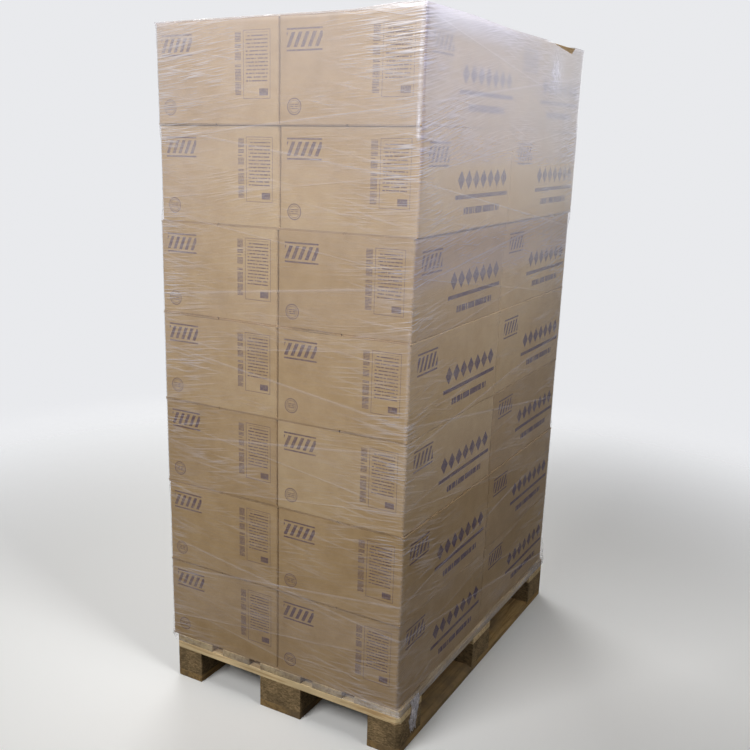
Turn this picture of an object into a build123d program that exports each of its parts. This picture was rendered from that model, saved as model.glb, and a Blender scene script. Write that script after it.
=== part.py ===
from build123d import *
import os

# Stretch wrapped pallet load: seven layers of four kraft cartons on an 800 by 1200 mm block pallet.
# Millimetres. X runs along the 800 mm end of the pallet, Y along its 1200 mm side, Z up from the floor.
# The origin is on the floor, at the middle of the wrapped load's outline.

# Pallet sizes
pallet_width = 800.0
pallet_length = 1200.0
board_thickness = 22.0
block_height = 78.0
wide_board = 145.0
narrow_board = 100.0
outer_block_width = 100.0
centre_block_width = 145.0
block_length = 145.0
corner_cut = 12.0
bevel_width = 14.0
bevel_depth = 8.0

# Carton sizes, outside: two cartons span the pallet each way
carton_width = pallet_width / 2
carton_length = pallet_length / 2
carton_height = 260.0
board_caliper = 4.0
upright_fold_radius = 4.0
flap_fold = 2.0
flap_seam_gap = 3.0
flap_setback = 2.0

# How the load stands on the pallet
load_offset = 10.0
layer_drift = [(-1.0, 2.0), (1.0, -1.0), (-2.0, -1.0), (-1.0, -2.0), (-3.0, 2.0), (3.0, 2.0), (2.0, -2.0)]

# Film sizes
film_thickness = 0.8
film_clearance = 0.3
film_corner_radius = 5.0
film_lap = 0.4
film_width = 500.0
lap_pitch = 380.0
first_lap = 285.0
lap_slope_across = -2.4
lap_slope_along = 3.6
skirt_taper_height = 60.0
rim_rise = 12.0
rim_width = 14.0
rim_fillet = 4.0
lip_width = 120.0

# The notch near the rear of the right rim, where the film has slipped off the cartons, from the rear end
notch_front = 360.0
notch_rear = 100.0
notch_fold = 155.0
notch_tip = 210.0
notch_drop = 24.0
notch_reach = 80.0

# The film's loose end, gathered to four widths on its way down the corner block
tail_depth = 9.0
tail_rounding = 3.0
tail_centre = 92.0
tail_bottom = 42.0
tail_widths = [46.0, 24.0, 34.0, 20.0]

# Levels above the floor
block_base = board_thickness
cross_base = block_base + block_height
deck_base = cross_base + board_thickness
load_base = deck_base + board_thickness
layer_count = len(layer_drift)
load_top = load_base + layer_count * carton_height

# Places across the floor
across_drift = max(abs(dx) for dx, dy in layer_drift)
along_drift = max(abs(dy) for dx, dy in layer_drift)
film_reach = film_clearance + film_thickness
load_half_width = pallet_width / 2 + across_drift + film_reach
load_half_length = pallet_length / 2 + along_drift + film_reach
# the load stands proud on the left and the film's loose end on the right, with the origin between them
left_reach = load_half_width + film_lap
right_reach = pallet_width / 2 + film_clearance + tail_depth
pallet_x = (load_offset + left_reach - right_reach) / 2
load_x = pallet_x - load_offset
pallet_left = pallet_x - pallet_width / 2
pallet_right = pallet_x + pallet_width / 2

os.makedirs("parts", exist_ok=True)


def save(builder, name):
    """Label one finished piece and write it."""
    builder.part.label = name
    export_step(builder.part, f"parts/{name}.step")


def pallet_corners(builder):
    """The upright edges of a piece that stand at the pallet's four corners."""
    def is_corner(edge):
        place = edge.center()
        across = abs(abs(place.X - pallet_x) - pallet_width / 2)
        along = abs(abs(place.Y) - pallet_length / 2)
        return across < 0.01 and along < 0.01

    return builder.edges().filter_by(Axis.Z).filter_by(is_corner)


def slab(name, centre_x, centre_y, base, width, length, height):
    """One sawn board or block, with the pallet's corners cut off where it reaches them."""
    with BuildPart() as piece:
        with BuildSketch(Plane.XY.offset(base)):
            with Locations((centre_x, centre_y)):
                Rectangle(width, length)
        extrude(amount=height)
        if pallet_corners(piece):
            chamfer(pallet_corners(piece), corner_cut)
    save(piece, name)


# Deck boards: wide at the edges and the middle, narrow between them, with even gaps
deck_widths = [wide_board, narrow_board, wide_board, narrow_board, wide_board]
deck_gap = (pallet_width - sum(deck_widths)) / (len(deck_widths) - 1)
board_left = pallet_left
for number, width in enumerate(deck_widths, start=1):
    slab(f"deck_board_{number}", board_left + width / 2, 0, deck_base, width, pallet_length, board_thickness)
    board_left += width + deck_gap

# Cross boards under the deck, over the rows of blocks
row_y = (pallet_length - block_length) / 2
rows = {"front": -row_y, "middle": 0.0, "rear": row_y}
for row, y in rows.items():
    slab(f"cross_board_{row}", pallet_x, y, cross_base, pallet_width, block_length, board_thickness)

# Blocks: three rows of three
column_x = (pallet_width - outer_block_width) / 2
columns = {
    "left": (pallet_x - column_x, outer_block_width),
    "centre": (pallet_x, centre_block_width),
    "right": (pallet_x + column_x, outer_block_width),
}
for row, y in rows.items():
    for column, (x, width) in columns.items():
        slab(f"block_{row}_{column}", x, y, block_base, width, block_length, block_height)

# Bottom boards: their upper edges are bevelled between the blocks, for truck wheels
row_gap = row_y - block_length
for column, (x, width) in columns.items():
    with BuildPart() as bottom_board:
        with BuildSketch():
            with Locations((x, 0)):
                Rectangle(width, pallet_length)
        extrude(amount=board_thickness)
        if pallet_corners(bottom_board):
            chamfer(pallet_corners(bottom_board), corner_cut)
        for far_end in (row_y - block_length / 2, -block_length / 2):
            with BuildSketch(Plane.XZ.offset(-far_end)):
                for side in (-1, 1):
                    edge_x = x + side * width / 2
                    with BuildLine():
                        Polyline(
                            (edge_x, board_thickness),
                            (edge_x - side * bevel_width, board_thickness),
                            (edge_x, board_thickness - bevel_depth),
                            close=True,
                        )
                    make_face()
            extrude(amount=row_gap, mode=Mode.SUBTRACT)
    save(bottom_board, f"bottom_board_{column}")


# One slotted carton: rounded upright folds, folded long flaps that meet at a seam
with BuildPart() as carton_pattern:
    with BuildSketch():
        Rectangle(carton_width, carton_length)
    extrude(amount=carton_height)
    long_folds = carton_pattern.edges().filter_by(Axis.Y)
    chamfer(long_folds, flap_fold)
    fillet(carton_pattern.edges().filter_by(Axis.Z), upright_fold_radius)
    # the seam between the long flaps, and the steps where they stop short of the ends
    for level in (0, carton_height - board_caliper):
        with BuildSketch(Plane.XY.offset(level)):
            Rectangle(flap_seam_gap, carton_length)
            with GridLocations(0, carton_length - flap_setback, 1, 2):
                Rectangle(carton_width, flap_setback)
        extrude(amount=board_caliper, mode=Mode.SUBTRACT)

# Cartons: two across and two along in each layer, each layer a little off the one below
for layer, (dx, dy) in enumerate(layer_drift, start=1):
    layer_base = load_base + (layer - 1) * carton_height
    for side, across in (("left", -0.5), ("right", 0.5)):
        for end, along in (("front", -0.5), ("rear", 0.5)):
            with BuildPart() as carton:
                with Locations((load_x + dx + across * carton_width, dy + along * carton_length, layer_base)):
                    add(carton_pattern.part)
            save(carton, f"carton_{layer}_{end}_{side}")


def wrapped_form(inset):
    """The closed form that the film is drawn over, taken in by inset on every face."""
    half_length = pallet_length / 2 + film_reach
    union_left = load_x - load_half_width
    union_right = pallet_right + film_reach
    # height, left side, right side, half the length
    stations = [
        (deck_base, pallet_left - film_reach, union_right, half_length),
        (load_base, union_left, union_right, load_half_length),
        (load_base + skirt_taper_height, union_left, load_x + load_half_width, load_half_length),
        (load_top + rim_rise - inset, union_left, load_x + load_half_width, load_half_length),
    ]
    with BuildPart() as form:
        for lower, upper in zip(stations, stations[1:]):
            for height, left, right, half in (lower, upper):
                with BuildSketch(Plane.XY.offset(height)):
                    with Locations(((left + right) / 2, 0)):
                        RectangleRounded(
                            right - left - 2 * inset, 2 * (half - inset), film_corner_radius - inset
                        )
            loft(ruled=True)
        # the lip dishes down from the rim to rest on the cartons
        lip_top = load_top + film_reach - inset
        spread = 2 * (inset - lip_width)
        with BuildSketch(Plane.XY.offset(lip_top)):
            with Locations((load_x, 0)):
                Rectangle(2 * load_half_width + spread, 2 * load_half_length + spread)
        rim_spread = 2 * (inset - rim_width)
        with BuildSketch(Plane.XY.offset(load_top + rim_rise)):
            with Locations((load_x, 0)):
                Rectangle(2 * load_half_width + rim_spread, 2 * load_half_length + rim_spread)
        loft(ruled=True, mode=Mode.SUBTRACT)
        fillet(form.edges().group_by(Axis.Z)[-1], rim_fillet - inset)
    return form.part


# Where one turn of the film overlaps the next: slanting bands that stand a little prouder
lap_height = film_width - lap_pitch
lap_count = int((load_top - load_base) / lap_pitch)
with BuildPart() as lap_bands:
    for lap in range(lap_count):
        lap_middle = load_base + first_lap + lap * lap_pitch
        tilt = (lap_slope_along, lap_slope_across, 0)
        with BuildSketch(Plane.XY.offset(lap_middle).rotated(tilt)):
            Rectangle(2 * pallet_width, 2 * pallet_length)
        extrude(amount=lap_height / 2, both=True)
with BuildPart() as film_laps:
    add(wrapped_form(-film_lap))
    add(lap_bands.part, mode=Mode.INTERSECT)

# The film itself, with its loose end gathered down the side of a corner block
with BuildPart() as stretch_film:
    add(wrapped_form(0))
    add(film_laps.part)
    add(wrapped_form(film_thickness), mode=Mode.SUBTRACT)
    # the opening inside the lip
    with BuildSketch(Plane.XY.offset(load_top)):
        with Locations((load_x, 0)):
            Rectangle(2 * (load_half_width - lip_width), 2 * (load_half_length - lip_width))
    extrude(amount=rim_rise, mode=Mode.SUBTRACT)
    # the notch: two slanting cuts that meet in a fold from the wall up to the lip
    wall_x = load_x + load_half_width
    rim_top = load_top + rim_rise
    fold_foot = Vector(wall_x, pallet_length / 2 - notch_fold, load_top - notch_drop)
    fold_tip = Vector(wall_x - notch_reach, pallet_length / 2 - notch_tip, load_top)
    across_fold = Plane(origin=fold_foot, x_dir=(0, 1, 0), z_dir=fold_tip - fold_foot)
    notch_ends = [Vector(wall_x, pallet_length / 2 - y, rim_top) for y in (notch_front, notch_rear)]
    slants = [across_fold.to_local_coords(end) for end in notch_ends]
    with BuildSketch(across_fold):
        with BuildLine():
            Polyline((0, 0), *[(slant.X, slant.Y) for slant in slants], close=True)
        make_face()
    extrude(amount=notch_reach + notch_drop, both=True, mode=Mode.SUBTRACT)
    tail_top = deck_base + board_thickness / 2
    tail_step = (tail_top - tail_bottom) / (len(tail_widths) - 1)
    for number, width in enumerate(tail_widths):
        with BuildSketch(Plane.XY.offset(tail_top - number * tail_step)):
            with Locations((pallet_right + film_clearance + tail_depth / 2, tail_centre - pallet_length / 2)):
                RectangleRounded(tail_depth, width, tail_rounding)
    loft()
save(stretch_film, "stretch_film")
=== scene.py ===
"""Looks of a stretch wrapped pallet load: kraft cartons on a block pallet, inside several turns of film.

Metres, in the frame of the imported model: X along the pallet's 800 mm end, Y along its side, Z up.
"""
from __future__ import annotations

import logging
import math
import random
from dataclasses import dataclass, field
from enum import Enum
from functools import partial
from typing import Any, Callable, Iterable, Sequence

import bpy
from mathutils import Matrix, Vector, noise

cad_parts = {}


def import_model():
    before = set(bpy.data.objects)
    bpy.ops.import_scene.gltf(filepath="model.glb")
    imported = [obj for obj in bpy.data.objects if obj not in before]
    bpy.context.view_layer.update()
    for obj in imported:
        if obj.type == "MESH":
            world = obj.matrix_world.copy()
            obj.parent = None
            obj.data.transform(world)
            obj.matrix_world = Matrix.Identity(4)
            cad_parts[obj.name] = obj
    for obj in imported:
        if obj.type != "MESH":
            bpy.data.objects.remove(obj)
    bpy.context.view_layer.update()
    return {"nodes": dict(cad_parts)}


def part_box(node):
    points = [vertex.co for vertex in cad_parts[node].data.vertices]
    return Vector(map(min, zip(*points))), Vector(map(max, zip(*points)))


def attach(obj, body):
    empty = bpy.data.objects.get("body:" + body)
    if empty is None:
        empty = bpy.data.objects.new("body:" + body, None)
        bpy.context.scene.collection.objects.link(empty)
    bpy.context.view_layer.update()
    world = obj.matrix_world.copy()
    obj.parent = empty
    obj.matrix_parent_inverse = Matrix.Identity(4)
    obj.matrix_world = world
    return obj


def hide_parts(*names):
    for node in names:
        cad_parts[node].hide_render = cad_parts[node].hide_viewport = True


LOG = logging.getLogger("pallet_load")
MM = 0.001
TOUCH = 1e-5
Piece = bpy.types.Object
Material = bpy.types.Material
Node = bpy.types.Node
# what a node's input takes, and add_node for one material's tree
Source = Node | bpy.types.NodeSocket | float
Adder = Callable[..., Node]


def linear(code: str) -> tuple[float, float, float, float]:
    """Turn an sRGB hex colour into linear values.

    Args:
        code: six hex digits after a hash.

    Returns:
        Linear red, green and blue, and a full alpha.
    """
    digits = code.lstrip("#")
    parts = (int(digits[i:i + 2], 16) / 255 for i in (0, 2, 4))
    red, green, blue = (p / 12.92 if p <= 0.04045 else ((p + 0.055) / 1.055) ** 2.4 for p in parts)
    return red, green, blue, 1.0


def share_of(value: float, whole: float = 1.0) -> float:
    """A value as a share of a whole, held between nought and one."""
    return min(1.0, max(0.0, value / whole))


def add_node(
    tree: bpy.types.NodeTree,
    kind: str,
    inputs: Sequence[Any] | dict[Any, Any] = (),
    stops: Iterable[tuple[float, Any]] = (),
    **settings: Any,
) -> Node:
    """Add one node with its settings, values and links.

    Args:
        tree: the node tree.
        kind: the node's type without its prefix, and after a dot its operation.
        inputs: values, outputs, or nodes that stand for their first output, in order or by the input's name.
        stops: a colour ramp's places and their colours or grey values, in order.
        settings: the node's properties.

    Returns:
        The new node.
    """
    kind, _, operation = kind.partition(".")
    node = tree.nodes.new(f"ShaderNode{kind}")
    if operation:
        node.operation = operation
    for name, value in settings.items():
        setattr(node, name, value)
    for key, value in (inputs if isinstance(inputs, dict) else dict(enumerate(inputs))).items():
        source = value.outputs[0] if isinstance(value, Node) else value
        if isinstance(source, bpy.types.NodeSocket):
            tree.links.new(source, node.inputs[key])
        else:
            node.inputs[key].default_value = source
    marks = list(stops)
    while marks and len(node.color_ramp.elements) < len(marks):
        node.color_ramp.elements.new(0.5)
    for index, (place, tone) in enumerate(marks):
        node.color_ramp.elements[index].position = place
        node.color_ramp.elements[index].color = tone if isinstance(tone, tuple) else (tone, tone, tone, 1.0)
    return node


def new_material(name: str) -> tuple[Material, Adder]:
    """Make an empty node material.

    Args:
        name: the material's name.

    Returns:
        The material, and add_node for its tree.
    """
    material = bpy.data.materials.new(name)
    material.use_nodes = True
    material.node_tree.nodes.clear()
    return material, partial(add_node, material.node_tree)


class Face(Enum):
    """Which way a carton's panel faces, and so what it carries."""

    END = 0
    SIDE = 1
    FLAP = 2
    CUT = 3


@dataclass(frozen=True)
class PrintedBox:
    """A filled rectangle on a printing plate, in millimetres from the panel's lower left corner."""

    left: float
    bottom: float
    width: float
    height: float


class Plate:
    """Draws ink shapes on a panel from the panel's own coordinates, in millimetres."""

    ink_spread = 0.5
    lean = -0.45

    def __init__(self, add: Adder) -> None:
        """Read the panel's coordinates.

        Args:
            add: adds a node to the material.
        """
        self.add = add
        panel = add("UVMap", uv_map="panel")
        self.place = add("VectorMath.SCALE", {0: panel, "Scale": 1 / MM})
        self.x, self.y = add("SeparateXYZ", (self.place,)).outputs[:2]

    def off(self, value: Source, middle: Source) -> Node:
        """How far a value lies from another, either way."""
        apart = self.add("Math.SUBTRACT", (value, middle))
        return self.add("Math.ABSOLUTE", (apart,))

    def through(self, value: Source, pitch: float) -> Node:
        """How far a value has come through its pitch, from nought to one."""
        turns = self.add("Math.DIVIDE", (value, pitch))
        return self.add("Math.FRACT", (turns,))

    def edge(self, distance: Source) -> Node:
        """Turn a distance from a shape's outline into ink, solid where the distance is below nought."""
        return self.add("MapRange", (distance, self.ink_spread, -self.ink_spread, 0.0, 1.0))

    def inside(self, box: PrintedBox) -> Node:
        """One inside a rectangle and nought outside it.

        Args:
            box: the rectangle.

        Returns:
            The mask.
        """
        centre = (box.left + box.width / 2, box.bottom + box.height / 2, 0)
        shifted = self.add("VectorMath.SUBTRACT", (self.place, centre))
        folded = self.add("VectorMath.ABSOLUTE", (shifted,))
        over = self.add("VectorMath.SUBTRACT", (folded, (box.width / 2, box.height / 2, 0)))
        return self.edge(self.add("Math.MAXIMUM", self.add("SeparateXYZ", (over,)).outputs[:2]))

    def combine(self, how: str, *masks: Source) -> Source:
        """Join masks by a math operation such as MAXIMUM, MULTIPLY or SUBTRACT.

        Args:
            how: the operation.
            masks: two or more masks.

        Returns:
            The joined mask.
        """
        total = masks[0]
        for mask in masks[1:]:
            total = self.add(f"Math.{how}", (total, mask), use_clamp=True)
        return total

    def frame(self, box: PrintedBox, line: float) -> Source:
        """The outline of a rectangle, drawn inwards with a line of the given width."""
        inner = PrintedBox(box.left + line, box.bottom + line, box.width - 2 * line, box.height - 2 * line)
        return self.combine("SUBTRACT", self.inside(box), self.inside(inner))

    def rows(self, box: PrintedBox, pitch: float, fill: float, seed: float, dash: float) -> Source:
        """Rows of short dashes that stand for small print, with no letters in them.

        Args:
            box: where the rows are.
            pitch: from one row to the next, in millimetres.
            fill: the share of the pitch that is ink.
            seed: makes one block differ from another.
            dash: the dashes' usual length, in millimetres.

        Returns:
            The mask.
        """
        turns = self.add("Math.DIVIDE", (self.y, pitch))
        row = self.add("Math.FLOOR", (turns,))
        line = self.add("Math.LESS_THAN", (self.through(self.y, pitch), fill))
        along = self.add("Math.DIVIDE", (self.x, dash))
        where = self.add("CombineXYZ", (along, row, seed))
        uneven = self.add("TexNoise", {"Vector": where, "Scale": 1.0, "Detail": 1.0, "Roughness": 0.6})
        inked = self.add("Math.GREATER_THAN", (uneven, 0.43))
        return self.combine("MULTIPLY", self.inside(box), line, inked)

    def diamonds(self, box: PrintedBox, pitch: float, share: float) -> Source:
        """A row of solid diamonds.

        Args:
            box: the row's bounds; the diamonds are as tall as it.
            pitch: from one diamond to the next, in millimetres.
            share: a diamond's width as a share of the pitch.

        Returns:
            The mask.
        """
        shifted = self.add("Math.SUBTRACT", (self.x, box.left))
        across = self.off(self.through(shifted, pitch), 0.5)
        wide = self.add("Math.MULTIPLY", (across, 2 / share))
        rise = self.off(self.y, box.bottom + box.height / 2)
        total = self.add("Math.MULTIPLY_ADD", (rise, 2 / box.height, wide))
        return self.combine("MULTIPLY", self.inside(box), self.add("MapRange", (total, 1.03, 0.97, 0.0, 1.0)))

    def slants(self, box: PrintedBox, pitch: float, share: float) -> Source:
        """Bars that lean to the right.

        Args:
            box: the bars' bounds.
            pitch: from one bar to the next, in millimetres.
            share: the share of the pitch that is ink.

        Returns:
            The mask.
        """
        leant = self.add("Math.MULTIPLY_ADD", (self.y, self.lean, self.x))
        bar = self.add("Math.LESS_THAN", (self.through(leant, pitch), share))
        return self.combine("MULTIPLY", self.inside(box), bar)

    def stamp(self, x: float, y: float, radius: float) -> Source:
        """A round stamp: two rings with bars across the middle.

        Args:
            x: the centre across the panel.
            y: the centre's height.
            radius: the outer ring's radius.

        Returns:
            The mask.
        """
        reach = self.add("VectorMath.DISTANCE", (self.place, (x, y, 0))).outputs["Value"]
        rings = []
        for middle, half in ((radius - 1.2, 1.2), (radius * 0.72, 0.7)):
            rings.append(self.edge(self.add("Math.SUBTRACT", (self.off(reach, middle), half))))
        inner = PrintedBox(x - radius * 0.55, y - radius * 0.4, radius * 1.1, radius * 0.8)
        return self.combine("MAXIMUM", *rings, self.rows(inner, 5.0, 0.5, x, 4.0))


@dataclass(frozen=True)
class KraftBoard:
    """Corrugated board with a kraft liner: matt brown paper, mottled by its fibres, lined by its flutes.

    Sizes are in millimetres. The flutes are those of a common C board. Real fibres are far too fine to show,
    so the flecks are drawn as bundles of them.
    """

    liner: str = "#AC9069"
    pale_liner: str = "#B89E78"
    dark_liner: str = "#9E825B"
    # a darker brown for the open flutes at a cut edge: painted shade in the hollows
    flute_shade: str = "#917657"
    ink: str = "#36234A"
    end_ink: float = 0.8
    side_ink: float = 0.95
    flute_pitch: float = 7.8
    mottle: float = 45.0
    cloud: float = 420.0
    fleck: float = 2.2
    height: float = 260.0

    def slanted_mark(self, plate: Plate, box: PrintedBox) -> Source:
        """A plain mark of no maker's: slanted bars between two rules.

        Args:
            plate: the printing plate.
            box: the mark's bounds.

        Returns:
            The mask.
        """
        rule = box.height * 0.08
        bars = PrintedBox(box.left, box.bottom + 2.2 * rule, box.width, box.height - 4.4 * rule)
        return plate.combine(
            "MAXIMUM",
            plate.slants(bars, box.width / 5, 0.52),
            plate.inside(PrintedBox(box.left, box.bottom, box.width, rule)),
            plate.inside(PrintedBox(box.left, box.bottom + box.height - rule, box.width, rule)),
        )

    def end_print(self, plate: Plate) -> Source:
        """The print on a carton's end: a slanted mark, a round stamp and a data panel.

        Args:
            plate: the printing plate.

        Returns:
            The mask.
        """
        mark = self.slanted_mark(plate, PrintedBox(22, self.height - 84, 104, 54))
        stamp = plate.stamp(46, 46, 21)
        border = plate.frame(PrintedBox(292, 66, 84, 166), 1.4)
        lines = plate.rows(PrintedBox(300, 104, 68, 122), 9.0, 0.36, 7.0, 6.5)
        block = plate.inside(PrintedBox(342, 74, 27, 17))
        upper_bars = plate.rows(PrintedBox(266, 160, 19, 68), 3.6, 0.6, 11.0, 400)
        lower_bars = plate.rows(PrintedBox(266, 72, 19, 78), 3.6, 0.6, 13.0, 400)
        return plate.combine("MAXIMUM", mark, stamp, border, lines, block, upper_bars, lower_bars)

    def side_print(self, plate: Plate) -> Source:
        """The print on a carton's side: the same mark, and a wide row of diamonds over a thick rule.

        Args:
            plate: the printing plate.

        Returns:
            The mask.
        """
        mark = self.slanted_mark(plate, PrintedBox(44, self.height - 94, 120, 60))
        band = plate.diamonds(PrintedBox(220, 106, 350, 50), 50, 0.9)
        rule = plate.inside(PrintedBox(212, 82, 366, 11))
        small = plate.rows(PrintedBox(270, 42, 250, 18), 60, 1.0, 5.0, 13)
        return plate.combine("MAXIMUM", mark, band, rule, small)

    def flutes(self, plate: Plate) -> Node:
        """The wave of the board's middle layer, from minus one to one."""
        turns = plate.add("Math.MULTIPLY", (plate.x, math.tau / self.flute_pitch))
        return plate.add("Math.SINE", (turns,))

    def cut_edge(self, plate: Plate, paper: Source) -> Source:
        """Show the wavy middle layer where a flap's board is cut, its open channels darker as painted shade.

        Args:
            plate: the edge's coordinates.
            paper: the liner's colour.

        Returns:
            The edge's colour.
        """
        level = plate.add("Math.MULTIPLY_ADD", (self.flutes(plate), 1.4, 2.0))
        # the flutes' open channels are painted darker, as painted shade
        open_part = plate.add("Math.GREATER_THAN", (plate.off(plate.y, level), 0.55))
        flute_shade = plate.combine("MULTIPLY", open_part, plate.inside(PrintedBox(-1000, 0.5, 3000, 3.0)))
        return plate.add("Mix", {0: flute_shade, 6: paper, 7: linear(self.flute_shade)}, data_type="RGBA").outputs[2]

    def material(self, face: Face) -> Material:
        """Build the board's material for one kind of panel.

        Args:
            face: the kind of panel.

        Returns:
            The material.
        """
        material, add = new_material(f"kraft_board_{face.name.lower()}")
        place = add("TexCoord").outputs["Object"]
        mottle = add("TexNoise", {"Vector": place, "Scale": 1 / (self.mottle * MM), "Detail": 5.0, "Roughness": 0.62})
        cloud = add("TexNoise", {"Vector": place, "Scale": 1 / (self.cloud * MM), "Detail": 2.0})
        upright = add("Mapping", {"Vector": place, "Scale": (1.0, 1.0, 0.3)})
        fibre = add("TexNoise", {"Vector": upright, "Scale": 1 / (self.fleck * MM), "Detail": 3.0, "Roughness": 0.7})
        # cartons come from several batches of board, a little paler or darker
        batch = add("Attribute", attribute_name="batch").outputs["Fac"]
        shade = add("Math.MULTIPLY_ADD", (batch, 0.3, -0.2))
        for pattern, amount in ((cloud, 0.6), (mottle, 0.5)):
            shade = add("Math.MULTIPLY_ADD", (pattern, amount, shade))
        tones = ((0.3, linear(self.dark_liner)), (0.5, linear(self.liner)), (0.72, linear(self.pale_liner)))
        paper = add("ValToRGB", (shade,), tones)
        flecks = add("ValToRGB", (fibre,), ((0.28, 0.92), (0.42, 1.0), (0.62, 1.0), (0.75, 1.03)))
        colour = add("Mix", {0: 1.0, 6: paper, 7: flecks}, data_type="RGBA", blend_type="MULTIPLY").outputs[2]
        relief = fibre
        if face in (Face.END, Face.SIDE):
            plate = Plate(add)
            ink = self.end_print(plate) if face is Face.END else self.side_print(plate)
            cover = self.end_ink if face is Face.END else self.side_ink
            # the ink is thin where the paper is coarse, and rubbed in patches
            worn = add("ValToRGB", (fibre,), ((0.34, 0.45), (0.5, 1.0)))
            patchy = add("ValToRGB", (mottle,), ((0.3, 0.7), (0.55, 1.0)))
            for share in (cover, worn, patchy):
                ink = add("Math.MULTIPLY", (ink, share))
            colour = add("Mix", {0: ink, 6: colour, 7: linear(self.ink)}, data_type="RGBA").outputs[2]
            relief = add("Math.MULTIPLY_ADD", (self.flutes(plate), 0.6, fibre))
        if face is Face.CUT:
            colour = self.cut_edge(Plate(add), colour)
        bump = add("Bump", {"Strength": 0.14, "Distance": 0.05 * MM, "Height": relief})
        rough = add("ValToRGB", (fibre,), ((0.2, 0.78), (0.8, 0.94)))
        board = {"Base Color": colour, "Roughness": rough, "Normal": bump, "Specular IOR Level": 0.3}
        add("OutputMaterial", (add("BsdfPrincipled", board),))
        return material


@dataclass(frozen=True)
class SawnSoftwood:
    """Rough sawn spruce: long pale and dark grain lines, and a grey skin in patches from weather.

    Sizes are in millimetres. The grain lines are as wide as rings that the saw cuts at a slant, and the hairs
    stand for the saw's fuzz, drawn coarser than it is so that it shows.
    """

    name: str
    stretch: tuple[float, float, float]
    pale: str
    dark: str
    grey: str
    weather: float
    ring: float = 14.0
    hair: float = 1.6
    patch: float = 150.0

    def material(self) -> Material:
        """Build the wood's material, its grain along one axis of the object.

        Returns:
            The material.
        """
        material, add = new_material(self.name)
        place = add("TexCoord").outputs["Object"]
        along = add("Mapping", {"Vector": place, "Scale": self.stretch})
        rings = add(
            "TexNoise",
            {"Vector": along, "Scale": 1 / (self.ring * MM), "Detail": 5.0, "Roughness": 0.55, "Distortion": 0.6},
        )
        hairs = add("TexNoise", {"Vector": along, "Scale": 1 / (self.hair * MM), "Detail": 3.0, "Roughness": 0.6})
        patches = add("TexNoise", {"Vector": place, "Scale": 1 / (self.patch * MM), "Detail": 4.0})
        fuzz = add("Math.MULTIPLY_ADD", (hairs, 0.35, -0.17))
        grain = add("Math.ADD", (rings, fuzz))
        tones = ((0.36, linear(self.dark)), (0.55, linear(self.pale)), (0.8, linear(self.pale)))
        wood = add("ValToRGB", (grain,), tones)
        weathered = add("ValToRGB", (patches,), ((0.4, 0.0), (0.7, self.weather * 2)))
        colour = add("Mix", {0: weathered, 6: wood, 7: linear(self.grey)}, data_type="RGBA").outputs[2]
        bump = add("Bump", {"Strength": 0.6, "Distance": 0.6 * MM, "Height": grain})
        sawn = {"Base Color": colour, "Roughness": 0.82, "Normal": bump, "Specular IOR Level": 0.3}
        add("OutputMaterial", (add("BsdfPrincipled", sawn),))
        return material


@dataclass(frozen=True)
class PressedChipBlock:
    """Pressed wood chips: flat flakes a few millimetres across in a dark resin, dirty from the floor."""

    chip: float = 7.0
    dirt: float = 60.0
    tones: tuple[str, ...] = ("#746145", "#8B7553", "#9B8360", "#AE936B")

    def material(self) -> Material:
        """Build the block's material.

        Returns:
            The material.
        """
        material, add = new_material("pressed_chip_block")
        place = add("TexCoord").outputs["Object"]
        squashed = add("Mapping", {"Vector": place, "Scale": (1.0, 1.0, 2.2)})
        flakes = add("TexVoronoi", {"Vector": squashed, "Scale": 1 / (self.chip * MM), "Randomness": 1.0})
        tone = add("SeparateColor", (flakes.outputs["Color"],))
        marks = [(index / (len(self.tones) - 1), linear(code)) for index, code in enumerate(self.tones)]
        chips = add("ValToRGB", (tone,), marks)
        dirt = add("TexNoise", {"Vector": place, "Scale": 1 / (self.dirt * MM), "Detail": 5.0})
        soiled = add("ValToRGB", (dirt,), ((0.35, 0.55), (0.65, 1.0)))
        colour = add("Mix", {0: 1.0, 6: chips, 7: soiled}, data_type="RGBA", blend_type="MULTIPLY").outputs[2]
        bump = add("Bump", {"Strength": 0.7, "Distance": 0.8 * MM, "Height": flakes.outputs["Distance"]})
        pressed = {"Base Color": colour, "Roughness": 0.88, "Normal": bump, "Specular IOR Level": 0.25}
        add("OutputMaterial", (add("BsdfPrincipled", pressed),))
        return material


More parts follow.
